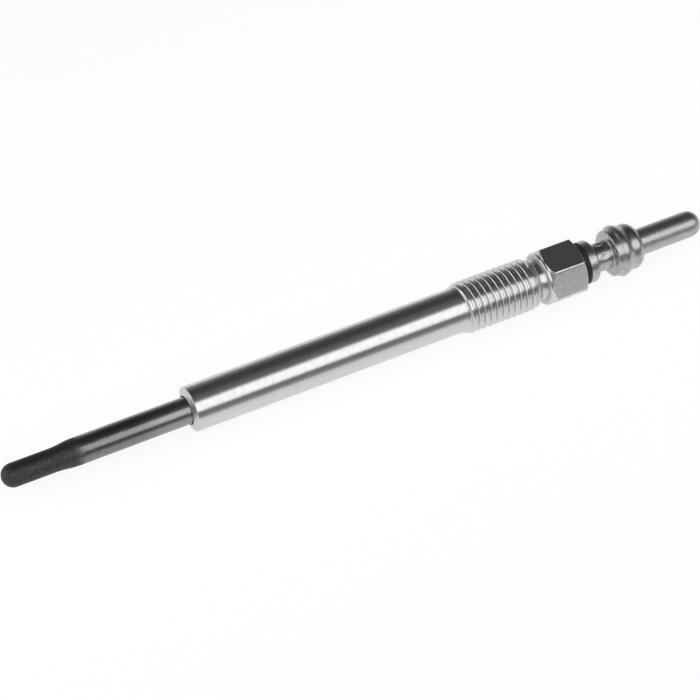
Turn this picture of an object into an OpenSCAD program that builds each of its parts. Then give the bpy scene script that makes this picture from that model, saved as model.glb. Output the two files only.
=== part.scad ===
// Diesel glow plug with a metal glow tube, a fine-threaded body and a plug-in terminal pin.
// The plug lies along X with its glowing tip towards -X, its terminal towards +X and one flat of
// its hexagon facing down. The origin is on the axis, at the inner edge of the seat on the nose
// of the body. All lengths are in millimetres.

/* [Glow tube] */
// Outside diameter of the glow tube where it enters the body
tube_d = 4; // [3.7:0.05:4.4]
// Outside diameter of the swaged tip
tip_d = 3.45; // [3.2:0.05:3.6]
// Wall of the glow tube
tube_wall = 0.5; // [0.4:0.05:0.6]
// Thickness of the closed end of the tip
tip_wall = 0.9; // [0.6:0.1:1.6]
// How far the glow tube stands out of the body
tube_reach = 28.1; // [26:0.1:32]
// Length of the swaged tip, with its round end
tip_length = 7.6; // [6:0.05:9.5]
// Length of the taper between the tip and the tube
swage_length = 3.5; // [2:0.1:5]
// Length of the tube that is pressed into the body
tube_grip = 22; // [16:0.5:30]

/* [Heater] */
// Mean diameter of the heating coil
heating_coil_d = 1.5; // [1.3:0.05:1.6]
// Diameter of the heating coil's wire
heating_wire_d = 0.32; // [0.24:0.02:0.36]
// Distance between turns of the heating coil
heating_pitch = 0.8; // [0.7:0.05:0.9]
// Number of turns of the heating coil
heating_turns = 15; // [10:1:16]
// Length of the straight wire end between the closed tip and the heating coil
heating_lead = 0.5; // [0.4:0.1:1.5]
// Diameter of the control coil's wire
control_wire_d = 0.3; // [0.24:0.02:0.34]
// Distance between turns of the control coil
control_pitch = 0.75; // [0.65:0.05:0.85]
// Turns of the control coil between the heating coil and the rod
control_free_turns = 12; // [8:1:14]
// Turns of the control coil that are wound on the nose of the rod
control_rod_turns = 4; // [2:1:6]

/* [Connecting rod] */
// Diameter of the connecting rod
rod_d = 3; // [2.8:0.05:3.2]
// Diameter of the rod's thin nose inside the glow tube
rod_nose_d = 1.9; // [1.6:0.05:2]
// Length of the seal that closes the glow tube round the rod
seal_length = 3; // [2:0.25:5]
// Distance from the back of the glow tube to the shoulder of the rod
shoulder_gap = 0.5; // [0.2:0.1:1]

/* [Body] */
// Diameter of the plain shank
shank_d = 6.68; // [6.3:0.02:7]
// Distance from the seat to the start of the thread's lead-in
shank_length = 42.85; // [36:0.05:60]
// How far the seat slopes back from its inner edge to its rim
seat_depth = 0.35; // [0.1:0.05:0.8]
// Bevel at the rim of the seat
rim_bevel = 0.12; // [0.05:0.01:0.25]
// Room round the tube at the mouth of the body's bore
mouth_gap = 0.18; // [0.1:0.02:0.3]
// Depth of the flared mouth of the bore
mouth_depth = 0.8; // [0.4:0.1:2]
// Diameter of the thread over its crests
thread_d = 7.95; // [7.7:0.05:8]
// Distance between turns of the thread
thread_pitch = 1; // [0.75:0.05:1.25]
// Depth of the thread below its crests
thread_depth = 0.58; // [0.4:0.02:0.62]
// Width of the thread's crests
crest_width = 0.14; // [0.08:0.02:0.24]
// Width of the thread's roots
root_width = 0.18; // [0.1:0.02:0.3]
// Length of the thread's tapered lead-in
thread_lead = 1.7; // [0.8:0.1:2.5]
// Length of the thread at full diameter
thread_length = 10.15; // [6:0.05:16]
// Length of the thread's tapered run-out
thread_runout = 1.25; // [0.6:0.05:2]
// Diameter of the relief groove behind the thread
relief_d = 6.54; // [6.2:0.02:6.9]
// Width of the floor of the relief groove
relief_width = 1; // [0.5:0.05:2]
// Diameter of the collar in front of the hexagon
collar_d = 7.94; // [7.7:0.02:7.98]
// Length of the collar
collar_length = 0.4; // [0.3:0.05:3]
// Bevel at the front edge of the collar
collar_bevel = 0.06; // [0.04:0.02:0.2]
// Diameter of the bore round the rod
rod_bore_d = 4.2; // [4:0.1:4.6]

/* [Hexagon] */
// Hexagon across its flats
hex_across_flats = 8; // [8:0.1:9]
// Length of the hexagon
hex_length = 5.9; // [4:0.1:9]
// Slope of the chamfers on the corners of the hexagon, from its end faces
hex_chamfer_angle = 32; // [20:1:45]
// Diameter of the flat ring on the back of the hexagon
hex_face_d = 7.7; // [7:0.05:7.9]
// Diameter of the seal pocket in the back of the hexagon
pocket_d = 5.6; // [5:0.1:5.8]

/* [Insulating washer] */
// Diameter of the washer
washer_d = 6.4; // [6:0.02:7]
// Thickness of the washer between the hexagon and the terminal
washer_thickness = 1.15; // [0.6:0.05:2]
// Length of the washer's spigot inside the seal pocket
spigot_length = 1.5; // [0.8:0.1:2.5]
// Bevel on the edges of the washer
washer_bevel = 0.12; // [0.04:0.02:0.2]

/* [Terminal] */
// Diameter of the terminal's foot
foot_d = 6.44; // [6:0.02:7]
// Length of the terminal's foot
foot_length = 1.55; // [1:0.05:2]
// Round edge at the back of the foot
foot_round = 0.5; // [0.3:0.05:0.7]
// Diameter of the crimped neck
neck_d = 4.34; // [4:0.02:4.5]
// Length of the crimped neck
neck_length = 2.9; // [2:0.05:4]
// Fillet at both ends of the neck
neck_fillet = 0.25; // [0.1:0.05:0.4]
// Number of crimp dents round the neck
dent_count = 6; // [4:1:8]
// Diameter of the round punch of the crimp dents
dent_d = 2.2; // [1:0.1:2.4]
// Depth of the crimp dents
dent_depth = 0.18; // [0.06:0.02:0.24]
// Distance from the flange to the middle of the crimp dents
dent_back = 1.45; // [1:0.05:1.6]
// Turn of the crimp dents round the axis
dent_turn = 35; // [0:1:60]
// Diameter of the flange behind the neck
flange_d = 7.1; // [6.4:0.05:7.4]
// Round edge of the flange
flange_round = 0.3; // [0.1:0.05:0.4]
// Diameter of the first locking ridge
ridge_d = 7.85; // [7.4:0.05:8.2]
// Distance from the flange's face to the crown of the first ridge
ridge_at = 1.45; // [1.2:0.05:2]
// Diameter at the bottom of the locking groove
groove_d = 6.9; // [6:0.05:6.9]
// Distance from the first ridge to the bottom of the groove
groove_after = 1.5; // [0.8:0.05:1.6]
// Diameter of the second ridge
back_ridge_d = 7; // [6.95:0.05:7.4]
// Distance from the groove to the crown of the second ridge
back_ridge_after = 0.5; // [0.4:0.05:1.5]
// Length of the round shoulder from the second ridge down to the pin
shoulder_length = 1.45; // [0.8:0.05:1.45]
// Diameter of the contact pin
pin_d = 3.98; // [3.8:0.02:4.1]
// Length of the contact pin behind the shoulder, with its round end
pin_length = 10.95; // [8:0.05:16]
// How far the rod reaches into the terminal
terminal_bore_depth = 6.6; // [4.5:0.1:8]

/* [Fits] */
// Room between nested pieces, on each side
fit_gap = 0.01; // [0.005:0.005:0.03]

/* [Hidden] */

// Smoothness of turned shapes and of the curves in their outlines
$fn = 96;
curve_steps = 8;
// Sides of a wire and rings of points on each turn of a coil
wire_sides = 6;
rings_per_turn = 10;
// Steps round each turn of the thread, and how far its hidden ends lie below the shank and the relief
thread_steps = 36;
thread_sunk = 0.12;
// Share of the inner radius of a coil that its straight stretches between rings leave free
chord_share = cos(180 / rings_per_turn);

// Places along the axis
tip_end = -tube_reach;
tip_back = tip_end + tip_length;
swage_back = tip_back + swage_length;
tube_back = tube_grip;
thread_start = shank_length + thread_lead;
thread_end = thread_start + thread_length;
relief_start = thread_end + thread_runout;
collar_start = relief_start + relief_width;
hex_start = collar_start + collar_length;
hex_end = hex_start + hex_length;
foot_start = hex_end + washer_thickness;
foot_end = foot_start + foot_length;
flange_face = foot_end + neck_length;
ridge_x = flange_face + ridge_at;
groove_x = ridge_x + groove_after;
back_ridge_x = groove_x + back_ridge_after;
pin_start = back_ridge_x + shoulder_length;
pin_end = pin_start + pin_length;

// Inside of the glow tube
tube_inner_r = tube_d / 2 - tube_wall;
tip_inner_r = tip_d / 2 - tube_wall;
inner_dome_x = tip_end + tip_wall + tip_inner_r;

// Rod and its seal
nose_r = rod_nose_d / 2;
seal_front = tube_back - seal_length;
rod_shoulder = tube_back + shoulder_gap;
rod_end = foot_start + terminal_bore_depth - fit_gap;
rod_bevel = (rod_d - rod_nose_d) / 4;

// The heating coil's wire starts on the inside of the round tip
heating_r = heating_coil_d / 2;
heating_space = heating_wire_d / 2 + fit_gap;
lead_start = inner_dome_x - sqrt(tip_inner_r ^ 2 - (heating_r + heating_space) ^ 2);
heating_start = lead_start + heating_lead;
heating_end = heating_start + heating_pitch * heating_turns;

// The control coil is welded beside the last turn of the heating coil and ends on the rod's nose
control_space = control_wire_d / 2 + fit_gap;
control_start = heating_end + (heating_wire_d + control_wire_d) / 2 + fit_gap;
control_rod_r = (nose_r + fit_gap) / chord_share + control_wire_d / 2;
control_growing_turns = control_free_turns - 1;
control_grown = control_start + control_pitch * control_growing_turns;
nose_front = control_start + control_pitch * control_free_turns;
control_turns = control_free_turns + control_rod_turns;
control_end = control_start + control_pitch * control_turns;

// Seal pocket in the back of the body
ring_section = (pocket_d - rod_d) / 2 - 2 * fit_gap;
pocket_floor = hex_end - spigot_length - ring_section - 2 * fit_gap;

// Turns an outline of [radius, place along the axis] points into a solid along X
module turned(points) {
    rotate([0, 90, 0]) rotate_extrude() polygon(points);
}

// A round bar or hole along X
module bar(diameter, from, to) {
    translate([from, 0, 0]) rotate([0, 90, 0]) cylinder(d = diameter, h = to - from);
}

// Outline of a round stretch: an arc about [radius, place], through angles from the radius direction
function arc(centre, size, from, to) = [
    for (i = [0 : curve_steps])
        let (angle = from + (to - from) * i / curve_steps)
        centre + size * [cos(angle), sin(angle)]
];

// Outline of a smooth double curve from one [radius, place] point to another
function sweep_between(a, b) = [
    for (i = [0 : curve_steps])
        let (part = i / curve_steps, rise = (1 - cos(180 * part)) / 2)
        [a[0] + (b[0] - a[0]) * rise, a[1] + (b[1] - a[1]) * part]
];

// Outline of the closed tube at a given tip radius, tube radius and place of the round end's centre
function tube_outline(tip_r, tube_r, dome_x, back) = concat(
    arc([0, dome_x], tip_r, -90, 0),
    sweep_between([tip_r, tip_back], [tube_r, swage_back]),
    [[tube_r, back], [0, back]]
);

// One wire wound round the X axis: its mean radius grows from r_from to r_to over the first turns
module wound_wire(start, pitch, turns, r_from, r_to, growing_turns, wire_d) {
    ring_count = turns * rings_per_turn;
    function mean_radius(turn) = r_from + (r_to - r_from) * min(1, turn / growing_turns);
    function ring(index) =
        let (
            turn = index / rings_per_turn,
            angle = 360 * turn,
            radius = mean_radius(turn),
            outward = [0, cos(angle), sin(angle)],
            along = [pitch, -2 * PI * radius * sin(angle), 2 * PI * radius * cos(angle)],
            sideways = cross(along / norm(along), outward),
            centre = [start + pitch * turn, 0, 0] + radius * outward
        )
        [
            for (side = [0 : wire_sides - 1])
                let (a = 360 * side / wire_sides)
                centre + wire_d / 2 * (cos(a) * outward + sin(a) * sideways)
        ];
    points = [for (index = [0 : ring_count]) each ring(index)];
    walls = [
        for (index = [0 : ring_count - 1], side = [0 : wire_sides - 1])
            let (
                here = index * wire_sides,
                next = here + wire_sides,
                after = (side + 1) % wire_sides
            )
            each [
                [here + side, next + side, here + after],
                [here + after, next + side, next + after],
            ]
    ];
    front_cap = [for (side = [0 : wire_sides - 1]) side];
    back_cap = [for (side = [wire_sides - 1 : -1 : 0]) ring_count * wire_sides + side];
    polyhedron(points, concat([front_cap, back_cap], walls));
}

// Right-hand thread as rows of points that climb one pitch on each turn. Each pitch has a row at both
// edges of the root and of the crest, and the ends reach one turn into the shank and the relief.
module screw_thread() {
    crest_r = thread_d / 2;
    root_r = crest_r - thread_depth;
    profile = [
        [crest_width / 2, crest_r],
        [(thread_pitch - root_width) / 2, root_r],
        [(thread_pitch + root_width) / 2, root_r],
        [thread_pitch - crest_width / 2, crest_r],
    ];
    pitch_rows = len(profile);
    turns = ceil((relief_start - shank_length) / thread_pitch) + 3;
    last_row = pitch_rows * turns;
    blank = [
        [shank_length, shank_d / 2 - thread_sunk],
        [thread_start, crest_r],
        [thread_end, crest_r],
        [relief_start, relief_d / 2 - thread_sunk],
    ];
    function point(row, step) =
        let (
            edge = profile[row % pitch_rows],
            turn = floor(row / pitch_rows) - 2 + step / thread_steps,
            x = shank_length + thread_pitch * turn + edge[0],
            radius = min(edge[1], lookup(x, blank)),
            angle = 360 * step / thread_steps
        )
        [x, radius * cos(angle), radius * sin(angle)];
    // Number of a point: the end of a turn is the start of the row one pitch on, and the rows that
    // only finish the last turn have one point each
    function number(row, step) =
        step == thread_steps ? number(row + pitch_rows, 0)
        : row > last_row ? (last_row + 1) * thread_steps + row - last_row - 1
        : row * thread_steps + step;
    points = concat(
        [for (row = [0 : last_row], step = [0 : thread_steps - 1]) point(row, step)],
        [for (row = [last_row + 1 : last_row + pitch_rows]) point(row, 0)]
    );
    flanks = [
        for (row = [0 : last_row - 1], step = [0 : thread_steps - 1])
            let (
                a = number(row, step),
                b = number(row + 1, step),
                c = number(row + 1, step + 1),
                d = number(row, step + 1)
            )
            each [[a, b, c], [a, c, d]]
    ];
    // Both ends close on a point of the axis
    front = len(points);
    back = front + 1;
    front_loop = concat(
        [for (step = [0 : thread_steps]) number(0, step)],
        [for (row = [pitch_rows - 1 : -1 : 0]) number(row, 0)]
    );
    back_loop = concat(
        [for (row = [last_row : last_row + pitch_rows]) number(row, 0)],
        [for (step = [thread_steps - 1 : -1 : 0]) number(last_row, step)]
    );
    front_cap = [for (i = [0 : len(front_loop) - 2]) [front, front_loop[i], front_loop[i + 1]]];
    back_cap = [for (i = [0 : len(back_loop) - 2]) [back, back_loop[i], back_loop[i + 1]]];
    ends = [
        for (row = [0, last_row])
            [point(row, 0)[0] + thread_pitch / 2, 0, 0]
    ];
    polyhedron(concat(points, ends), concat(flanks, front_cap, back_cap));
}

// Turned steel body: seat, shank, thread, relief groove, collar and hexagon, bored through
module plug_body() {
    shank_r = shank_d / 2;
    mouth_r = tube_d / 2 + mouth_gap;
    corner_r = hex_across_flats / 2 / cos(30) + 1;
    chamfer = tan(hex_chamfer_angle);
    color("silver") difference() {
        union() {
            turned([
                [0, 0],
                [mouth_r, 0],
                [shank_r - rim_bevel, seat_depth],
                [shank_r, seat_depth + rim_bevel],
                [shank_r, shank_length],
                [0, shank_length],
            ]);
            screw_thread();
            turned([
                [0, relief_start],
                [relief_d / 2, relief_start],
                [relief_d / 2, collar_start],
                [collar_d / 2 - collar_bevel, collar_start],
                [collar_d / 2, collar_start + collar_bevel],
                [collar_d / 2, hex_start],
                [0, hex_start],
            ]);
            intersection() {
                translate([hex_start, 0, 0]) rotate([0, 90, 0]) rotate([0, 0, 30])
                    cylinder(d = hex_across_flats / cos(30), h = hex_length, $fn = 6);
                turned([
                    [0, hex_start],
                    [collar_d / 2, hex_start],
                    [corner_r, hex_start + (corner_r - collar_d / 2) * chamfer],
                    [corner_r, hex_end - (corner_r - hex_face_d / 2) * chamfer],
                    [hex_face_d / 2, hex_end],
                    [0, hex_end],
                ]);
            }
        }
        bar(tube_d + 2 * fit_gap, -1, tube_back + fit_gap);
        bar(rod_bore_d, tube_back, hex_end);
        bar(pocket_d, pocket_floor, hex_end + 1);
        turned([
            [0, -mouth_depth],
            [mouth_r + mouth_gap, -mouth_depth],
            [tube_d / 2, mouth_depth],
            [0, mouth_depth],
        ]);
    }
}

// Closed glow tube with a swaged tip and a round end
module glow_tube() {
    color("dimgray") difference() {
        turned(tube_outline(tip_d / 2, tube_d / 2, tip_end + tip_d / 2, tube_back));
        turned(tube_outline(tip_inner_r, tube_inner_r, inner_dome_x, tube_back + 1));
    }
}

// Wire coil that glows, with a straight end on the closed tip of the tube
module heating_coil() {
    color("lightgray") union() {
        wound_wire(heating_start, heating_pitch, heating_turns, heating_r, heating_r, 1, heating_wire_d);
        translate([0, heating_r, 0]) bar(heating_wire_d, lead_start, heating_start);
    }
}

// Wire coil in series with the heating coil, widening to grip the nose of the rod
module control_coil() {
    color("darkgray") wound_wire(
        control_start, control_pitch, control_turns,
        heating_r, control_rod_r, control_growing_turns, control_wire_d
    );
}

// Pressed insulating powder in the tube, with a ring-shaped space where the coils lie
module filling_powder() {
    core_r = (heating_r - heating_space) * chord_share;
    core_back_r = (control_rod_r - control_space) * chord_share;
    space_r = heating_r + heating_space + fit_gap;
    space_back_r = control_rod_r + control_space + fit_gap;
    color("white") difference() {
        turned(tube_outline(tip_inner_r - fit_gap, tube_inner_r - fit_gap, inner_dome_x, seal_front));
        bar(rod_nose_d + 2 * fit_gap, nose_front - fit_gap, seal_front + 1);
        translate([0, heating_r, 0]) bar(2 * heating_space, tip_end, heating_start);
        turned([
            [core_r, heating_start - heating_space],
            [space_r, heating_start - heating_space],
            [space_r, control_start],
            [space_back_r, control_grown],
            [space_back_r, control_end + control_space],
            [core_back_r, control_end + control_space],
            [core_back_r, control_grown],
            [core_r, control_start],
        ]);
    }
}

// Soft plug that closes the back of the tube round the rod
module tube_seal() {
    color("darkred") difference() {
        bar(2 * (tube_inner_r - fit_gap), seal_front, tube_back);
        bar(rod_nose_d + 2 * fit_gap, seal_front - 1, tube_back + 1);
    }
}

// Steel rod that carries the current from the terminal to the control coil
module connecting_rod() {
    color("gray") turned([
        [0, nose_front],
        [nose_r, nose_front],
        [nose_r, rod_shoulder],
        [rod_d / 2 - rod_bevel, rod_shoulder],
        [rod_d / 2, rod_shoulder + rod_bevel],
        [rod_d / 2, rod_end - rod_bevel],
        [rod_d / 2 - rod_bevel, rod_end],
        [0, rod_end],
    ]);
}

// Rubber ring between the rod and the seal pocket
module o_ring() {
    color("black")
        translate([pocket_floor + fit_gap + ring_section / 2, 0, 0]) rotate([0, 90, 0])
        rotate_extrude() translate([(pocket_d + rod_d) / 4, 0]) circle(d = ring_section);
}

// Plastic washer that keeps the terminal off the body, with a spigot in the seal pocket
module insulating_washer() {
    color("black") difference() {
        turned([
            [0, hex_end - spigot_length],
            [pocket_d / 2 - fit_gap, hex_end - spigot_length],
            [pocket_d / 2 - fit_gap, hex_end],
            [washer_d / 2 - washer_bevel, hex_end],
            [washer_d / 2, hex_end + washer_bevel],
            [washer_d / 2, foot_start - washer_bevel],
            [washer_d / 2 - washer_bevel, foot_start],
            [0, foot_start],
        ]);
        bar(rod_d + 2 * fit_gap, hex_end - spigot_length - 1, foot_start + 1);
    }
}

// Turned terminal with a crimped neck, two locking ridges and a round-ended contact pin
module terminal_nut() {
    foot_r = foot_d / 2;
    neck_r = neck_d / 2;
    flange_r = flange_d / 2;
    pin_r = pin_d / 2;
    outline = concat(
        [[0, foot_start], [foot_r, foot_start]],
        arc([foot_r - foot_round, foot_end - foot_round], foot_round, 0, 90),
        arc([neck_r + neck_fillet, foot_end + neck_fillet], neck_fillet, 270, 180),
        arc([neck_r + neck_fillet, flange_face - neck_fillet], neck_fillet, 180, 90),
        arc([flange_r - flange_round, flange_face + flange_round], flange_round, -90, 0),
        sweep_between([flange_r, flange_face + 2 * flange_round], [ridge_d / 2, ridge_x]),
        sweep_between([ridge_d / 2, ridge_x], [groove_d / 2, groove_x]),
        sweep_between([groove_d / 2, groove_x], [back_ridge_d / 2, back_ridge_x]),
        arc([back_ridge_d / 2 - shoulder_length, back_ridge_x], shoulder_length, 0, 90),
        [[pin_r, pin_start]],
        arc([0, pin_end - pin_r], pin_r, 0, 90)
    );
    color("silver") difference() {
        turned(outline);
        bar(rod_d + 2 * fit_gap, foot_start - 1, foot_start + terminal_bore_depth);
        for (i = [0 : dent_count - 1])
            rotate([360 * i / dent_count + dent_turn, 0, 0])
                translate([flange_face - dent_back, 0, neck_r + dent_d / 2 - dent_depth])
                    sphere(d = dent_d);
    }
}

plug_body();
glow_tube();
heating_coil();
control_coil();
filling_powder();
tube_seal();
connecting_rod();
o_ring();
insulating_washer();
terminal_nut();
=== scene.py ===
import math

import bpy
import numpy as np
from mathutils import Matrix, Vector


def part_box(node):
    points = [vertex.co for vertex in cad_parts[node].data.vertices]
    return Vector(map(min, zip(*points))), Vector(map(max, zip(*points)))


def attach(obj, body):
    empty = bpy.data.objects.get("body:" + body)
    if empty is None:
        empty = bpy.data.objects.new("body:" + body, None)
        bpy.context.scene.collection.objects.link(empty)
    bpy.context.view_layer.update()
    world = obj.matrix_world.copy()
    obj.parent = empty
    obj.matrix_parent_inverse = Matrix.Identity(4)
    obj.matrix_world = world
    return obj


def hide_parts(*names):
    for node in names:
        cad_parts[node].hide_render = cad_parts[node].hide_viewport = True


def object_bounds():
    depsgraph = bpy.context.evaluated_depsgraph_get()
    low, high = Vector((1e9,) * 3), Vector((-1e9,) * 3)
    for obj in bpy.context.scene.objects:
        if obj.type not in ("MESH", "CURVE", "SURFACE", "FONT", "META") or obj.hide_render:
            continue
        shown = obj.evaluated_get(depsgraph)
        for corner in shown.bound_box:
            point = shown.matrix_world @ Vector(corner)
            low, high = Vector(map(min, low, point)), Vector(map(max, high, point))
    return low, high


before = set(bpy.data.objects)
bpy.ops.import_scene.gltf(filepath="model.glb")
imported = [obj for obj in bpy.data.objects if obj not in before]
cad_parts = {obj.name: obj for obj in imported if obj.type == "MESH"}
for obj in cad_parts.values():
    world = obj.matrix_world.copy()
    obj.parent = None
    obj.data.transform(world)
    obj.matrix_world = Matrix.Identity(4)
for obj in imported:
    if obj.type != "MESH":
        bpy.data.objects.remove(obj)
cad_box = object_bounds()

# Millimetres to metres: shapes below are worked out in millimetres
MM = 0.001


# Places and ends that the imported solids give, in millimetres along the plug's axis
def span_x(node):
    low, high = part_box(node)
    return low.x / MM, high.x / MM


TIP_END, TUBE_BACK = span_x("glow_tube")
SEAT, HEX_END = span_x("plug_body")
SPIGOT_FRONT, FOOT_START = span_x("insulating_washer")
PIN_END = span_x("terminal_nut")[1]

# Glow tube
TUBE_R = 2.0
TIP_R = 1.725
TUBE_WALL = 0.5
TIP_WALL = 0.9
TIP_BACK = TIP_END + 7.6
SWAGE_BACK = TIP_BACK + 3.5

# Body
SHANK_R = 3.34
SEAT_DEPTH = 0.35
RIM_ROUND = 0.12
MOUTH_R = TUBE_R + 0.18
MOUTH_DEPTH = 0.8
SHANK_END = 42.85
THREAD_START = SHANK_END + 1.7
THREAD_END = THREAD_START + 10.15
RELIEF_START = THREAD_END + 1.25
COLLAR_START = RELIEF_START + 1
HEX_START = COLLAR_START + 0.4
RELIEF_R = 3.27
RELIEF_FILLET = 0.06
COLLAR_R = 3.97
COLLAR_ROUND = 0.38
FIT_GAP = 0.01
ROD_BORE_R = 2.1
POCKET_R = 2.8
POCKET_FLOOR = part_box("o_ring")[0].x / MM - FIT_GAP

# Thread: a metric profile of 1 mm pitch
PITCH = 1.0
CREST_R = 3.975
THREAD_DEPTH = 0.58
CREST_HALF = 0.1
ROOT_HALF = 0.09
THREAD_SOFTNESS = 0.1
# Places of points from the middle of a crest to the middle of a root, as shares of the pitch
HALF_PHASES = [0, 0.045, 0.075, 0.12, 0.18, 0.26, 0.34, 0.40, 0.44, 0.47, 0.5]
# Least distance along the axis from a point of the thread to the plain ring before or behind it
THREAD_MARGIN = 0.02

# Hexagon: its chamfers are cones, given as length for each millimetre of radius
HEX_FLAT = 4.0
HEX_CORNER_ROUND = 0.3
HEX_FRONT_CHAMFER = math.tan(math.radians(41))
HEX_BACK_CHAMFER = math.tan(math.radians(32))
HEX_FACE_R = 3.85
# Place of the first ring behind the collar, as a share of the front chamfer
CHAMFER_FIRST = 0.01

# Insulating washer
WASHER_R = 3.2
WASHER_ROUND = 0.12
ROD_R = 1.5

# Terminal
FOOT_R = 3.22
FOOT_END = FOOT_START + 1.55
FOOT_ROUND = 0.5
NECK_R = 2.17
NECK_FILLET = 0.25
FLANGE_FACE = FOOT_END + 2.9
FLANGE_R = 3.55
FLANGE_ROUND = 0.3
RIDGE = FLANGE_FACE + 1.45
RIDGE_R = 3.925
GROOVE = RIDGE + 1.5
GROOVE_R = 3.45
BACK_RIDGE = GROOVE + 0.5
BACK_RIDGE_R = 3.5
SHOULDER = 1.45
PIN_START = BACK_RIDGE + SHOULDER
PIN_R = 1.99
BORE_END = FOOT_START + 6.6

# Crimp dents in the terminal's neck: only points no deeper below it than the skin are pushed in
DENT_COUNT = 6
DENT_R = 1.6
DENT_DEPTH = 0.12
DENT_AT = FLANGE_FACE - 1.45
DENT_TURN = math.radians(35)
DENT_SKIN = 0.01

# Columns of points round the axis: even steps, with more at the corners of the hexagon, in degrees
EVEN_COLUMNS = 192
CORNER_STEPS = (-1.4, -0.93, -0.47, -0.23, 0.23, 0.47, 0.93, 1.4)

# Steps along the curves of the outlines
EDGE_STEPS = 5
COLLAR_STEPS = 10
CHAMFER_STEPS = 14
DOME_STEPS = 24
SWAGE_STEPS = 32
INNER_DOME_STEPS = 10
INNER_SWAGE_STEPS = 12
NECK_STEPS = 60
SHOULDER_STEPS = 16

# Edges that turn by more than this many degrees are left sharp
SHARP_ANGLE = 40


class Skin:
    """Rings of points round the X axis, in millimetres, and the faces between them."""

    def __init__(self, angles):
        self.angles = angles
        self.points = []
        self.faces = []

    def ring(self, x, r):
        """Adds one ring, or one point where r is zero, and returns its point numbers."""
        first = len(self.points)
        if np.isscalar(r) and r == 0:
            self.points.append((x, 0.0, 0.0))
            return [first]
        radii = np.broadcast_to(r, self.angles.shape)
        for angle, radius in zip(self.angles, radii):
            self.points.append((x, radius * math.cos(angle), radius * math.sin(angle)))
        return list(range(first, len(self.points)))

    def bridge(self, a, b):
        """Faces between two rings, or between a ring and a point on the axis."""
        count = max(len(a), len(b))
        for c in range(count):
            d = (c + 1) % count
            self.face([a[c % len(a)], a[d % len(a)], b[d % len(b)], b[c % len(b)]])

    def face(self, corners):
        """Adds a face, without the corners that come twice."""
        kept = []
        for corner in corners:
            if corner not in kept:
                kept.append(corner)
        if len(kept) > 2:
            self.faces.append(kept)

    def turn(self, outline):
        """Rings along an outline of (x, r) points, joined one to the next.

        Returns the first and the last ring.
        """
        rings = [self.ring(x, r) for x, r in outline]
        for a, b in zip(rings, rings[1:]):
            self.bridge(a, b)
        return rings[0], rings[-1]

    def piece(self, name, material):
        """The finished object, in metres, smooth apart from its sharp edges."""
        mesh = bpy.data.meshes.new(name)
        mesh.from_pydata((np.array(self.points) * MM).tolist(), [], self.faces)
        mesh.validate()
        mesh.shade_smooth()
        mesh.set_sharp_from_angle(angle=math.radians(SHARP_ANGLE))
        mesh.materials.append(material)
        made = bpy.data.objects.new(name, mesh)
        bpy.context.scene.collection.objects.link(made)
        return made


def even_angles():
    return np.arange(EVEN_COLUMNS) * 2 * math.pi / EVEN_COLUMNS


def hexagon_angles():
    """Even columns and extra ones beside each corner of the hexagon."""
    extra = [math.radians(60 * i + step) % (2 * math.pi) for i in range(6) for step in CORNER_STEPS]
    return np.unique(np.concatenate([even_angles(), extra]))


def arc(x, r, size, start, end, steps=8):
    """Points on an arc about (x, r). Angles are in degrees, from the outward direction towards +X."""
    turns = np.radians(np.linspace(start, end, steps + 1))
    return [(x + size * math.sin(a), r + size * math.cos(a)) for a in turns]


def double_curve(start, end, steps=16):
    """Points on a smooth S between two (x, r) points."""
    parts = np.linspace(0, 1, steps + 1)
    rise = (1 - np.cos(np.pi * parts)) / 2
    return [
        (start[0] + (end[0] - start[0]) * part, start[1] + (end[1] - start[1]) * up)
        for part, up in zip(parts, rise)
    ]


# Body with its thread and hexagon
def thread_phases():
    """Places on one pitch, as shares of the pitch from the middle of a crest."""
    return np.array(HALF_PHASES + [1 - p for p in reversed(HALF_PHASES[1:-1])])


def thread_depth(phase):
    """Depth of the thread below its crest at a phase, with a soft crest and a round root."""
    away = np.abs((phase + 0.5) % 1 - 0.5) * PITCH
    slope = THREAD_DEPTH / (PITCH / 2 - ROOT_HALF - CREST_HALF)
    flank = np.clip((away - CREST_HALF) * slope, 0, THREAD_DEPTH)
    below_crest = np.sqrt(flank ** 2 + THREAD_SOFTNESS ** 2) - THREAD_SOFTNESS
    above_root = THREAD_DEPTH - below_crest
    return THREAD_DEPTH - np.sqrt(above_root ** 2 + THREAD_SOFTNESS ** 2) + THREAD_SOFTNESS


def blank_r(x):
    """Radius of the turned blank that the thread is cut in: lead-in, full diameter and run-out."""
    return np.interp(
        x,
        [SHANK_END, THREAD_START, THREAD_END, RELIEF_START],
        [SHANK_R, CREST_R, CREST_R, RELIEF_R],
    )


def thread_column(skin, angle):
    """Adds the thread's points at one angle, and returns their numbers by their row on the helix."""
    phases = thread_phases()
    turns = int((RELIEF_START - SHANK_END) / PITCH) + 2
    column = {}
    for turn in range(-1, turns):
        for j, phase in enumerate(phases):
            x = SHANK_END + PITCH * (turn + phase + angle / (2 * math.pi))
            if SHANK_END + THREAD_MARGIN < x < RELIEF_START - THREAD_MARGIN:
                r = min(CREST_R - float(thread_depth(phase)), float(blank_r(x)))
                column[turn * len(phases) + j] = len(skin.points)
                skin.points.append((x, r * math.cos(angle), r * math.sin(angle)))
    return column


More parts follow.
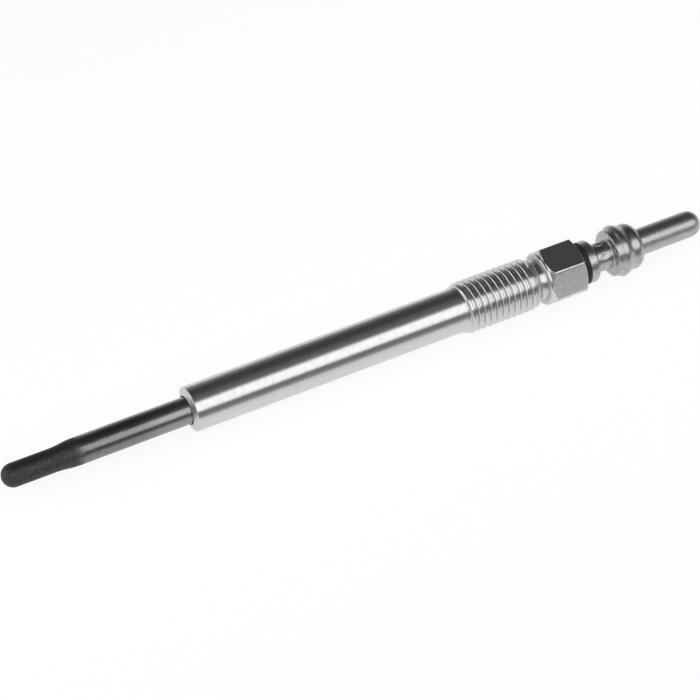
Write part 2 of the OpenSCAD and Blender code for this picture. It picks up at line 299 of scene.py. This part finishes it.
def add_thread(skin, front, back):
    """A right-hand helix of faces between the last plain ring in front and the first one behind."""
    rows_per_turn = len(thread_phases())
    columns = [thread_column(skin, angle) for angle in skin.angles]
    count = len(columns)
    for c in range(count):
        d = (c + 1) % count
        # The last column meets the first one a turn later on the helix
        shift = rows_per_turn if d == 0 else 0
        left = columns[c]
        right = {row - shift: point for row, point in columns[d].items()}
        pairs = [(front[c], front[d])]
        # A row that only one of the two columns has starts at the front ring or ends at the back one
        for row in sorted(set(left) | set(right)):
            pairs.append((left.get(row, front[c]), right.get(row, back[d])))
        pairs.append((back[c], back[d]))
        for (a, b), (e, f) in zip(pairs, pairs[1:]):
            skin.face([a, b, f, e])


def hexagon_r(angles):
    """Radius of the hexagon at each angle, with rounded corners."""
    from_corner = np.abs((angles + math.pi / 6) % (math.pi / 3) - math.pi / 6)
    flat = HEX_FLAT / np.cos(math.pi / 6 - from_corner)
    centre = (HEX_FLAT - HEX_CORNER_ROUND) / math.cos(math.pi / 6)
    inside = HEX_CORNER_ROUND ** 2 - (centre * np.sin(from_corner)) ** 2
    rounded = centre * np.cos(from_corner) + np.sqrt(np.maximum(inside, 0))
    reach = math.atan2(HEX_CORNER_ROUND / 2, centre + HEX_CORNER_ROUND * math.cos(math.pi / 6))
    return np.where(from_corner < reach, rounded, flat)


def add_hexagon(skin, front):
    """Rings of the hexagon with its corners chamfered by a cone at each end. Returns the last ring."""
    flat_r = hexagon_r(skin.angles)
    front_length = (flat_r.max() - COLLAR_R) * HEX_FRONT_CHAMFER
    back_length = (flat_r.max() - HEX_FACE_R) * HEX_BACK_CHAMFER
    places = np.concatenate([
        HEX_START + np.linspace(CHAMFER_FIRST, 1, CHAMFER_STEPS) * front_length,
        HEX_END - np.linspace(1, 0, CHAMFER_STEPS) * back_length,
    ])
    before = front
    for x in places:
        front_cone = COLLAR_R + (x - HEX_START) / HEX_FRONT_CHAMFER
        back_cone = HEX_FACE_R + (HEX_END - x) / HEX_BACK_CHAMFER
        ring = skin.ring(x, np.minimum(flat_r, min(front_cone, back_cone)))
        skin.bridge(before, ring)
        before = ring
    return before


def make_body(material):
    skin = Skin(hexagon_angles())
    seat_slope = math.degrees(math.atan2(SEAT_DEPTH, SHANK_R - MOUTH_R))
    rim_x = SEAT + SEAT_DEPTH + RIM_ROUND * math.cos(math.radians(seat_slope))
    nose, shank = skin.turn(
        [(SEAT, MOUTH_R)]
        + arc(rim_x, SHANK_R - RIM_ROUND, RIM_ROUND, seat_slope - 90, 0, EDGE_STEPS)
        + [(SHANK_END, SHANK_R)]
    )
    relief, collar = skin.turn(
        [(RELIEF_START, RELIEF_R)]
        + arc(COLLAR_START - RELIEF_FILLET, RELIEF_R + RELIEF_FILLET, RELIEF_FILLET, 180, 90, EDGE_STEPS)
        + arc(COLLAR_START + COLLAR_ROUND, COLLAR_R - COLLAR_ROUND, COLLAR_ROUND, -90, 0, COLLAR_STEPS)
        + [(HEX_START, COLLAR_R)]
    )
    add_thread(skin, shank, relief)
    hexagon = add_hexagon(skin, collar)
    inside, mouth = skin.turn([
        (HEX_END, POCKET_R),
        (POCKET_FLOOR, POCKET_R),
        (POCKET_FLOOR, ROD_BORE_R),
        (TUBE_BACK, ROD_BORE_R),
        (TUBE_BACK, TUBE_R + FIT_GAP),
        (SEAT + MOUTH_DEPTH, TUBE_R + FIT_GAP),
    ])
    skin.bridge(hexagon, inside)
    skin.bridge(mouth, nose)
    return skin.piece("body_with_thread", material)


# Glow tube
def make_tube(material):
    inner_tip = TIP_R - TUBE_WALL
    inner_tube = TUBE_R - TUBE_WALL
    skin = Skin(even_angles())
    dome = TIP_END + TIP_R
    inner_dome = TIP_END + TIP_WALL + inner_tip
    outside = (
        [(TIP_END, 0)]
        + arc(dome, 0, TIP_R, -90, 0, DOME_STEPS)[1:]
        + double_curve((TIP_BACK, TIP_R), (SWAGE_BACK, TUBE_R), SWAGE_STEPS)
        + [(TUBE_BACK, TUBE_R)]
    )
    inside = (
        [(TUBE_BACK, inner_tube)]
        + double_curve((SWAGE_BACK, inner_tube), (TIP_BACK, inner_tip), INNER_SWAGE_STEPS)
        + arc(inner_dome, 0, inner_tip, 0, -90, INNER_DOME_STEPS)[:-1]
        + [(TIP_END + TIP_WALL, 0)]
    )
    skin.turn(outside + inside)
    return skin.piece("swaged_tube", material)


# Insulating washer
def make_washer(material):
    skin = Skin(even_angles())
    bore_r = ROD_R + FIT_GAP
    spigot_r = POCKET_R - FIT_GAP
    edge_r = WASHER_R - WASHER_ROUND
    first, last = skin.turn(
        [(SPIGOT_FRONT, bore_r), (SPIGOT_FRONT, spigot_r), (HEX_END, spigot_r)]
        + arc(HEX_END + WASHER_ROUND, edge_r, WASHER_ROUND, -90, 0, EDGE_STEPS)
        + arc(FOOT_START - WASHER_ROUND, edge_r, WASHER_ROUND, 0, 90, EDGE_STEPS)
        + [(FOOT_START, bore_r)]
    )
    skin.bridge(last, first)
    return skin.piece("moulded_washer", material)


# Terminal
def dented(points):
    """Pushes points of the neck in where a round punch crimped it."""
    moved = np.array(points)
    centre_r = NECK_R + DENT_R - DENT_DEPTH
    for i in range(DENT_COUNT):
        angle = 2 * math.pi * i / DENT_COUNT + math.pi / 2 + DENT_TURN
        outward = np.array([0, math.cos(angle), math.sin(angle)])
        centre = np.array([DENT_AT, 0, 0]) + outward * centre_r
        away = moved - centre
        inside = DENT_R ** 2 - (away ** 2).sum(1)
        near = (inside > 0) & (np.hypot(moved[:, 1], moved[:, 2]) > NECK_R - DENT_SKIN)
        along = away[near] @ outward
        depth = along + np.sqrt(along ** 2 + inside[near])
        moved[near] -= depth[:, None] * outward
    return moved.tolist()


def make_terminal(material):
    skin = Skin(even_angles())
    bore_r = ROD_R + FIT_GAP
    neck = np.linspace(FOOT_END + NECK_FILLET, FLANGE_FACE - NECK_FILLET, NECK_STEPS)
    face = skin.turn(
        [(FOOT_START, bore_r), (FOOT_START, FOOT_R)]
        + arc(FOOT_END - FOOT_ROUND, FOOT_R - FOOT_ROUND, FOOT_ROUND, 0, 90)
        + arc(FOOT_END + NECK_FILLET, NECK_R + NECK_FILLET, NECK_FILLET, 270, 180)
        + [(x, NECK_R) for x in neck[1:-1]]
        + arc(FLANGE_FACE - NECK_FILLET, NECK_R + NECK_FILLET, NECK_FILLET, 180, 90)
        + arc(FLANGE_FACE + FLANGE_ROUND, FLANGE_R - FLANGE_ROUND, FLANGE_ROUND, -90, 0)
        + double_curve((FLANGE_FACE + 2 * FLANGE_ROUND, FLANGE_R), (RIDGE, RIDGE_R))
        + double_curve((RIDGE, RIDGE_R), (GROOVE, GROOVE_R))[1:]
        + double_curve((GROOVE, GROOVE_R), (BACK_RIDGE, BACK_RIDGE_R))[1:]
        + arc(BACK_RIDGE, BACK_RIDGE_R - SHOULDER, SHOULDER, 0, 90, SHOULDER_STEPS)[1:]
        + [(PIN_START, PIN_R)]
        + arc(PIN_END - PIN_R, 0, PIN_R, 0, 90, DOME_STEPS)[:-1]
        + [(PIN_END, 0)]
    )[0]
    bore_mouth = skin.turn([(BORE_END, 0), (BORE_END, bore_r)])[1]
    skin.bridge(bore_mouth, face)
    skin.points = dented(skin.points)
    return skin.piece("turned_terminal", material)


# Materials
def smooth_range(tree, value, start, end, low, high):
    """Maps a value smoothly from start and end to low and high, and keeps it between them."""
    node = tree.nodes.new("ShaderNodeMapRange")
    node.interpolation_type = "SMOOTHSTEP"
    tree.links.new(value, node.inputs["Value"])
    limits = {"From Min": start, "From Max": end, "To Min": low, "To Max": high}
    for name, limit in limits.items():
        node.inputs[name].default_value = limit
    return node.outputs["Result"]


class Nodes:
    """A material's node tree, with short calls for the nodes that the finishes share."""

    def __init__(self, name):
        self.material = bpy.data.materials.new(name)
        self.material.use_nodes = True
        self.tree = self.material.node_tree
        self.shader = self.tree.nodes["Principled BSDF"]
        self.coordinates = self.tree.nodes.new("ShaderNodeTexCoord")
        self.place = self.scaled(self.coordinates.outputs["Object"], (1 / MM,) * 3)
        self.x, self.y, _ = self.parts(self.place)

    def feed(self, socket, value):
        """Links an output to a socket, or sets the socket to a plain value."""
        if isinstance(value, bpy.types.NodeSocket):
            self.tree.links.new(value, socket)
        else:
            socket.default_value = value

    def parts(self, vector):
        node = self.tree.nodes.new("ShaderNodeSeparateXYZ")
        self.tree.links.new(vector, node.inputs[0])
        return node.outputs

    def scaled(self, vector, factors):
        node = self.tree.nodes.new("ShaderNodeVectorMath")
        node.operation = "MULTIPLY"
        self.tree.links.new(vector, node.inputs[0])
        node.inputs[1].default_value = factors
        return node.outputs["Vector"]

    def math(self, operation, a, b=0.0, c=0.0):
        node = self.tree.nodes.new("ShaderNodeMath")
        node.operation = operation
        for socket, value in zip(node.inputs, (a, b, c)):
            self.feed(socket, value)
        return node.outputs[0]

    def plus(self, base, share, amount):
        """A base, plus an amount where the share is 1 and part of it where the share is less."""
        return self.math("MULTIPLY_ADD", share, amount, base)

    def between(self, value, start, end, low=0.0, high=1.0):
        return smooth_range(self.tree, value, start, end, low, high)

    def noise(self, per_mm, detail=3.0, rough=0.55):
        """Noise whose cells are 1 / per_mm millimetres along each axis."""
        node = self.tree.nodes.new("ShaderNodeTexNoise")
        self.tree.links.new(self.scaled(self.place, per_mm), node.inputs["Vector"])
        node.inputs["Scale"].default_value = 1.0
        node.inputs["Detail"].default_value = detail
        node.inputs["Roughness"].default_value = rough
        return node.outputs["Fac"]

    def mix(self, share, a, b):
        """Colour a where the share is 0, and b where it is 1."""
        node = self.tree.nodes.new("ShaderNodeMix")
        node.data_type = "RGBA"
        self.tree.links.new(share, node.inputs["Factor"])
        for name, value in (("A", a), ("B", b)):
            self.feed(next(s for s in node.inputs if s.name == name and s.type == "RGBA"), value)
        return next(s for s in node.outputs if s.type == "RGBA")

    def bump(self, height, strength, distance):
        """Bump by a height whose unit is a distance in millimetres."""
        node = self.tree.nodes.new("ShaderNodeBump")
        node.inputs["Strength"].default_value = strength
        node.inputs["Distance"].default_value = distance * MM
        self.tree.links.new(height, node.inputs["Height"])
        self.tree.links.new(node.outputs["Normal"], self.shader.inputs["Normal"])

    def set(self, **values):
        """Values or links of the shader's sockets, with _ for the spaces in their names."""
        for name, value in values.items():
            self.feed(self.shader.inputs[name.replace("_", " ")], value)
        return self.material


def grey(level, warmth=0.0):
    return (level * (1 + warmth), level, level * (1 - warmth), 1)


def plated_steel():
    """Bright plating with turning lines, duller on the seat and end faces and mottled on the flats."""
    n = Nodes("plated_steel")
    facing = n.parts(n.coordinates.outputs["Normal"])["X"]
    seat = n.between(n.x, SEAT + 0.45, SEAT + 0.3)
    flats = n.between(n.x, HEX_START - 0.1, HEX_START + 0.1)
    behind_thread = n.between(n.x, RELIEF_START, RELIEF_START + 0.5)
    back = n.math("MULTIPLY", flats, n.between(facing, 0.3, 0.5))
    front = n.math("MULTIPLY", behind_thread, n.between(facing, -0.8, -0.95))
    grain = n.noise((9, 9, 9), detail=4)
    mottle = n.noise((1.6, 1.6, 1.6))
    lines = n.noise((14, 0.4, 0.4), detail=2)
    spots = n.between(n.noise((3, 3, 3)), 0.4, 0.65)
    colour = n.mix(n.between(mottle, 0.35, 0.7), grey(0.64), grey(0.6))
    colour = n.mix(n.math("MULTIPLY", flats, spots), colour, grey(0.74))
    rough = n.plus(0.22, seat, 0.1)
    rough = n.plus(rough, n.math("MAXIMUM", back, front), 0.28)
    rough = n.plus(rough, mottle, 0.04)
    speckle = n.math("MULTIPLY", n.noise((5, 5, 5), detail=2), n.plus(0.2, flats, 1.6))
    height = n.math("ADD", speckle, n.plus(lines, grain, 0.3))
    n.bump(height, strength=0.12, distance=0.02)
    return n.set(Base_Color=colour, Metallic=1.0, Roughness=rough)


def heat_dark_steel():
    """Dark and rough at the tip, with a ragged change to polished steel, palest near the seat."""
    n = Nodes("heat_dark_steel")
    grain = n.noise((7, 7, 7), detail=5, rough=0.65)
    blotch = n.noise((0.9, 1.4, 1.4))
    spots = n.between(n.noise((3, 3, 3)), 0.35, 0.65)
    ragged = n.plus(n.x, blotch, 3.0)
    behind = n.between(ragged, TIP_BACK + 4.2, SWAGE_BACK + 2.8)
    fresh = n.between(n.x, SEAT - 9, SEAT - 3)
    dark = n.mix(spots, grey(0.065), grey(0.1))
    clean = n.mix(spots, grey(0.185), grey(0.235))
    clean = n.mix(fresh, clean, grey(0.29))
    colour = n.mix(behind, dark, clean)
    rough = n.plus(0.57, behind, -0.35)
    rough = n.plus(rough, grain, 0.08)
    n.bump(n.plus(grain, blotch, 1.5), strength=0.25, distance=0.03)
    return n.set(Base_Color=colour, Metallic=1.0, Roughness=rough)


def satin_nickel():
    """Satin plating with turning lines and faint spots, a little smoother in front of the pin."""
    n = Nodes("satin_nickel")
    lines = n.noise((10, 0.5, 0.5))
    grain = n.noise((8, 8, 8), detail=4)
    spots = n.between(n.noise((3, 3, 3)), 0.35, 0.65)
    before_pin = n.between(n.x, PIN_START, PIN_START - 0.5)
    colour = n.mix(spots, grey(0.49, 0.01), grey(0.39, 0.01))
    rough = n.plus(0.29, before_pin, -0.07)
    rough = n.plus(rough, grain, 0.14)
    n.bump(n.plus(lines, grain, 0.9), strength=0.26, distance=0.03)
    return n.set(Base_Color=colour, Metallic=1.0, Roughness=rough)


def black_plastic():
    n = Nodes("black_plastic")
    grain = n.noise((12, 12, 12))
    colour = n.mix(grain, grey(0.008), grey(0.018))
    n.bump(grain, strength=0.3, distance=0.02)
    return n.set(Base_Color=colour, Roughness=n.plus(0.45, grain, 0.2), Specular_IOR_Level=0.3)


def seal_rubber():
    n = Nodes("seal_rubber")
    grain = n.noise((10, 10, 10), detail=4)
    colour = n.mix(grain, grey(0.012), grey(0.03))
    n.bump(grain, strength=0.3, distance=0.03)
    return n.set(Base_Color=colour, Roughness=n.plus(0.6, grain, 0.2))


def drawn_steel(name, level):
    """Drawn rod or wire, with fine lines along it."""
    n = Nodes(name)
    lines = n.noise((0.6, 12, 12))
    colour = n.mix(lines, grey(level), grey(level * 0.8))
    n.bump(lines, strength=0.15, distance=0.02)
    return n.set(Base_Color=colour, Metallic=1.0, Roughness=n.plus(0.28, lines, 0.15))


def pressed_powder():
    n = Nodes("pressed_powder")
    grain = n.noise((14, 14, 14), detail=5, rough=0.7)
    colour = n.mix(grain, grey(0.82, 0.01), grey(0.68, 0.02))
    n.bump(grain, strength=0.5, distance=0.04)
    return n.set(Base_Color=colour, Roughness=n.plus(0.8, grain, 0.15))


# Pieces on the plug's one body
def dress():
    rubber = seal_rubber()
    wire = drawn_steel("coil_wire", 0.5)
    made = [
        (make_body(plated_steel()), "plug_body", "plated_steel"),
        (make_tube(heat_dark_steel()), "glow_tube", "heat_dark_steel"),
        (make_washer(black_plastic()), "insulating_washer", "black_plastic"),
        (make_terminal(satin_nickel()), "terminal_nut", "satin_nickel"),
    ]
    for piece, node, slot in made:
        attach(piece, "root")
        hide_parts(node)
    kept = {
        "heating_coil": wire,
        "control_coil": wire,
        "filling_powder": pressed_powder(),
        "tube_seal": rubber,
        "connecting_rod": drawn_steel("bare_steel", 0.6),
        "o_ring": rubber,
    }
    for node, material in kept.items():
        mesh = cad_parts[node].data
        mesh.materials.clear()
        mesh.materials.append(material)


# Studio: pale floor, dim room, one long soft light, a card past the tip and a light over the floor
# Lengths are in metres and angles in degrees, unless a line says otherwise
FLOOR_HALF = 20.0
FLOOR_COLOUR = 0.82
# Shares of plain white on the floor: seen by the camera, seen in metal, and seen in metal close to the
# plug, where a painted glow lightens the plug's shadow
CAMERA_WHITE = 0.9
MIRROR_WHITE = 0.1
NEAR_PAINTED_GLOW = 0.8
# Millimetres from the axis at which the painted glow on the floor close to the plug starts and stops to
# fade
NEAR_HALF = 5.0
NEAR_FADE = 9.0
# Level of the room, and what its horizon and its ceiling add, with the sines of the heights they reach
ROOM_LEVEL = 0.06
ROOM_LOW_GLOW = 0.24
ROOM_LOW_TOP = math.sin(math.radians(35))
ROOM_HIGH_GLOW = 0.08
ROOM_HIGH_FROM = math.sin(math.radians(55))
# Soft light: the heights of its edges as the plug sees them
LIGHT_LOW = 33.5
LIGHT_HIGH = 78
LIGHT_AWAY = 0.5
LIGHT_LENGTH = 1.5
LIGHT_MIDDLE_X = 0.15
LIGHT_LEVEL = 1.5
# Card and floor light, set about the middle of the plug
PLUG_MIDDLE_X = 0.03
CARD_TURN = 25
CARD_RISE = 24
CARD_AWAY = 0.6
CARD_SIZE = (0.5, 0.36)
CARD_LEVEL = 1.5
FILL_SIZE = (0.5, 0.1)
FILL_RISE = 0.1
FILL_LEVEL = 1.4


def make_floor():
    """A pale floor that is nearly white to the camera and keeps the plug's shadow there; seen in metal
    close to the plug, it has a painted glow that lightens that shadow.
    """
    z = cad_box[0].z
    mesh = bpy.data.meshes.new("floor")
    corners = [(-FLOOR_HALF, -FLOOR_HALF, z), (FLOOR_HALF, -FLOOR_HALF, z),
               (FLOOR_HALF, FLOOR_HALF, z), (-FLOOR_HALF, FLOOR_HALF, z)]
    mesh.from_pydata(corners, [], [(0, 1, 2, 3)])
    floor = bpy.data.objects.new("floor", mesh)
    bpy.context.scene.collection.objects.link(floor)
    n = Nodes("pale_floor")
    grain = n.noise((0.3, 0.3, 0.3), detail=2)
    n.set(
        Base_Color=n.mix(grain, grey(FLOOR_COLOUR), grey(FLOOR_COLOUR * 0.98)),
        Roughness=0.9,
        Specular_IOR_Level=0.0,
    )
    paths = n.tree.nodes.new("ShaderNodeLightPath")
    seen = n.math("MAXIMUM", paths.outputs["Is Camera Ray"], paths.outputs["Is Transmission Ray"])
    share = n.math("MULTIPLY", seen, CAMERA_WHITE)
    # Painted glow: close to the plug, the floor seen in metal is near white, painted over the plug's shadow
    near = n.between(n.math("ABSOLUTE", n.y), NEAR_FADE, NEAR_HALF, MIRROR_WHITE, NEAR_PAINTED_GLOW)
    share = n.plus(share, paths.outputs["Is Glossy Ray"], near)
    glow = n.tree.nodes.new("ShaderNodeEmission")
    glow.inputs["Strength"].default_value = 1.0
    blend = n.tree.nodes.new("ShaderNodeMixShader")
    n.tree.links.new(share, blend.inputs["Fac"])
    n.tree.links.new(n.shader.outputs["BSDF"], blend.inputs[1])
    n.tree.links.new(glow.outputs["Emission"], blend.inputs[2])
    n.tree.links.new(blend.outputs["Shader"], n.tree.nodes["Material Output"].inputs["Surface"])
    mesh.materials.append(n.material)


def make_room():
    """A dim room, a little paler towards its horizon and its ceiling."""
    world = bpy.data.worlds.new("room")
    bpy.context.scene.world = world
    world.use_nodes = True
    tree = world.node_tree
    coordinates = tree.nodes.new("ShaderNodeTexCoord")
    parts = tree.nodes.new("ShaderNodeSeparateXYZ")
    tree.links.new(coordinates.outputs["Generated"], parts.inputs[0])
    height = parts.outputs["Z"]
    horizon = smooth_range(tree, height, 0, ROOM_LOW_TOP, ROOM_LEVEL + ROOM_LOW_GLOW, ROOM_LEVEL)
    ceiling = smooth_range(tree, height, ROOM_HIGH_FROM, 1, 0, ROOM_HIGH_GLOW)
    level = tree.nodes.new("ShaderNodeMath")
    tree.links.new(horizon, level.inputs[0])
    tree.links.new(ceiling, level.inputs[1])
    tree.links.new(level.outputs[0], tree.nodes["Background"].inputs["Strength"])
    tree.nodes["Background"].inputs["Color"].default_value = (1, 1, 1, 1)


def area_light(name, size, level):
    """A rectangle of even light, which shines straight down until it is turned."""
    lamp = bpy.data.lights.new(name, "AREA")
    lamp.shape = "RECTANGLE"
    lamp.size, lamp.size_y = size
    lamp.energy = level * math.pi * size[0] * size[1]
    light = bpy.data.objects.new(name, lamp)
    bpy.context.scene.collection.objects.link(light)
    return light


def face_axis(light, x, towards, away):
    """Sets a light to face a point on the axis, with its first side level with the floor."""
    across = Vector((-towards.y, towards.x, 0)).normalized()
    turn = Matrix((across, towards.cross(across), towards)).transposed()
    light.matrix_world = Matrix.Translation(Vector((x, 0, 0)) + towards * away) @ turn.to_4x4()


def make_light():
    """One long soft box beside the plug, seen in the metal between its low and high edge."""
    half = math.radians(LIGHT_HIGH - LIGHT_LOW) / 2
    rise = math.radians(LIGHT_HIGH + LIGHT_LOW) / 2
    height = 2 * LIGHT_AWAY * math.tan(half)
    towards = Vector((0, -math.cos(rise), math.sin(rise)))
    light = area_light("soft_box", (LIGHT_LENGTH, height), LIGHT_LEVEL)
    face_axis(light, LIGHT_MIDDLE_X, towards, LIGHT_AWAY)


def make_card():
    """A pale card past the tip, seen in the edges that face it."""
    turn = math.radians(CARD_TURN)
    rise = math.radians(CARD_RISE)
    towards = Vector((-math.cos(turn) * math.cos(rise), math.sin(turn) * math.cos(rise), math.sin(rise)))
    card = area_light("end_card", CARD_SIZE, CARD_LEVEL)
    face_axis(card, PLUG_MIDDLE_X, towards, CARD_AWAY)


def make_fill():
    """A light overhead that brightens the floor round the plug and stays out of the metal."""
    light = area_light("floor_fill", FILL_SIZE, FILL_LEVEL)
    light.location = (PLUG_MIDDLE_X, 0, FILL_RISE)
    light.visible_glossy = False
    light.visible_camera = False


# Camera: a corner of the hexagon faces it, and the tip is nearer than the terminal
TILT = math.radians(19.5)
CORNER_RISE = math.radians(60)
AXIS_RISE = math.radians(20.41)
LENS = 150.0
SENSOR = 36.0
CLIP_START = 0.01
CLIP_END = 100
IMAGE_SIDE = 700
PIXELS_PER_MM = 6.98
# A point on the plug's axis, in millimetres, and the pixel of the image where it lies
AXIS_POINT_X = 29.35
AXIS_POINT_PIXEL = (371.76, 341.55)


def make_camera():
    data = bpy.data.cameras.new("camera")
    data.lens = LENS
    data.sensor_width = SENSOR
    data.clip_start = CLIP_START
    data.clip_end = CLIP_END
    camera = bpy.data.objects.new("camera", data)
    bpy.context.scene.collection.objects.link(camera)
    bpy.context.scene.camera = camera
    back = Vector((
        -math.sin(TILT),
        -math.cos(TILT) * math.cos(CORNER_RISE),
        math.cos(TILT) * math.sin(CORNER_RISE),
    ))
    along = Vector((1, 0, 0)) - back * back.x
    along.normalize()
    beside = back.cross(along)
    right = along * math.cos(AXIS_RISE) - beside * math.sin(AXIS_RISE)
    up = along * math.sin(AXIS_RISE) + beside * math.cos(AXIS_RISE)
    away = LENS / SENSOR * IMAGE_SIDE / PIXELS_PER_MM * MM
    to_right = (AXIS_POINT_PIXEL[0] - IMAGE_SIDE / 2) / PIXELS_PER_MM * MM
    to_top = (IMAGE_SIDE / 2 - AXIS_POINT_PIXEL[1]) / PIXELS_PER_MM * MM
    aim = Vector((AXIS_POINT_X * MM, 0, 0)) - right * to_right - up * to_top
    turn = Matrix((right, up, back)).transposed()
    camera.matrix_world = Matrix.Translation(aim + back * away) @ turn.to_4x4()


bpy.context.scene.view_settings.view_transform = "Standard"
dress()
make_floor()
make_room()
make_light()
make_card()
make_fill()
make_camera()

bpy.context.view_layer.update()
